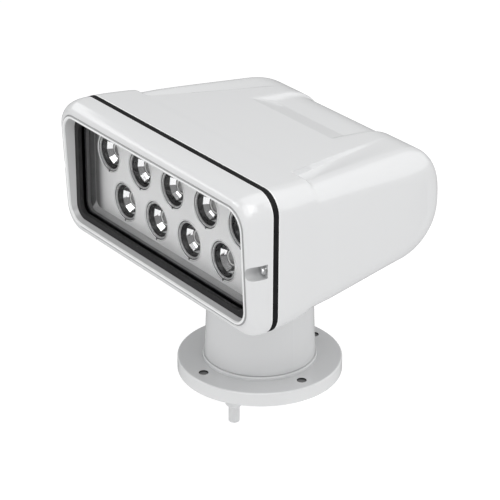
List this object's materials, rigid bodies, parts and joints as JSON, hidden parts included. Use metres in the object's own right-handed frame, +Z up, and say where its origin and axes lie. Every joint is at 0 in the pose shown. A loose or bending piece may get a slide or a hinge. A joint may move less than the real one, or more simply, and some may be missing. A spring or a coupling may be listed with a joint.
{
  "type": "marine searchlight",
  "caption": "White remote-controlled deck searchlight: wide sealed LED head with a black gasket line, tilting on a round panning column with a bolted flange base.",
  "frame": {"origin": "centre of the flange underside, on the pan axis", "axes": "+Z up along the pan axis, lamp front faces -Y, +X to the lamp's left-hand tilt axle end as seen from behind"},
  "size_m": [0.2904, 0.2369, 0.2968],
  "materials": {
    "white_gloss": "smooth white gloss",
    "black_rubber": "matt black rubber",
    "black_plastic": "matt black",
    "glass": "clear",
    "satin_alu": "satin",
    "mirror_cup": "mirror bright",
    "emitter": "pale yellow",
    "circuit": "green board",
    "cast_alu": "cast",
    "steel": "machined",
    "bronze": "machined",
    "motor": "dark"
  },
  "bodies": {
    "base": {"base_flange": "white_gloss", "pan_spindle": "steel", "spindle_screws": "steel", "pan_gear": "bronze", "spindle_nut": "steel", "slip_ring_stator": "black_plastic", "outlet_spigot": "white_gloss", "outlet_screws": "steel", "outlet_nut": "white_gloss"},
    "turret": {"turret_column": "white_gloss", "turret_hub": "cast_alu", "hub_screws": "steel", "pan_bush_lower": "bronze", "pan_bush_upper": "bronze", "pan_seal": "black_rubber", "pan_motor": "motor", "pan_motor_screws": "steel", "slip_ring_rotor": "black_plastic", "tilt_neck": "white_gloss", "neck_screws": "steel", "tilt_axle": "steel", "axle_pin": "steel", "axle_key": "steel", "axle_clips": "steel", "tilt_gear": "bronze"},
    "head": {"rear_housing": "white_gloss", "front_bezel": "white_gloss", "housing_gasket": "black_rubber", "lens_gasket": "black_rubber", "lens_glass": "glass", "lens_frame": "black_plastic", "reflector_trim": "satin_alu", "reflector_plate": "satin_alu", "reflector_cups": "mirror_cup", "led_emitters": "emitter", "led_board": "circuit", "board_posts": "steel", "heat_sink": "satin_alu", "driver_board": "circuit", "bezel_screws": "steel", "tilt_cradle": "cast_alu", "cradle_screws": "steel", "tilt_bushes": "bronze", "tilt_seals": "black_rubber", "tilt_motor": "motor", "tilt_motor_bracket": "steel", "tilt_motor_screws": "steel"},
    "pan_pinion": {"pan_pinion": "steel"},
    "tilt_pinion": {"tilt_pinion": "steel"}
  },
  "joints": [
    {"name": "pan", "type": "hinge", "parent": "base", "child": "turret", "pos_m": [0, 0, 0.06], "axis": [0, 0, 1], "continuous": true},
    {"name": "tilt", "type": "hinge", "parent": "turret", "child": "head", "pos_m": [0, 0, 0.18], "axis": [1, 0, 0], "range_deg": [-20, 20]},
    {"name": "pan_pinion_spin", "type": "hinge", "parent": "turret", "child": "pan_pinion", "pos_m": [0, 0.03, 0.025], "axis": [0, 0, 1], "continuous": true},
    {"name": "tilt_pinion_spin", "type": "hinge", "parent": "head", "child": "tilt_pinion", "pos_m": [0.0495, 0.03806, 0.19385], "axis": [1, 0, 0], "range_deg": [-60, 60]}
  ],
  "couplings": [
    {"joint": "pan_pinion_spin", "follows": "pan", "ratio": 2},
    {"joint": "tilt_pinion_spin", "follows": "tilt", "ratio": 2.8571}
  ]
}
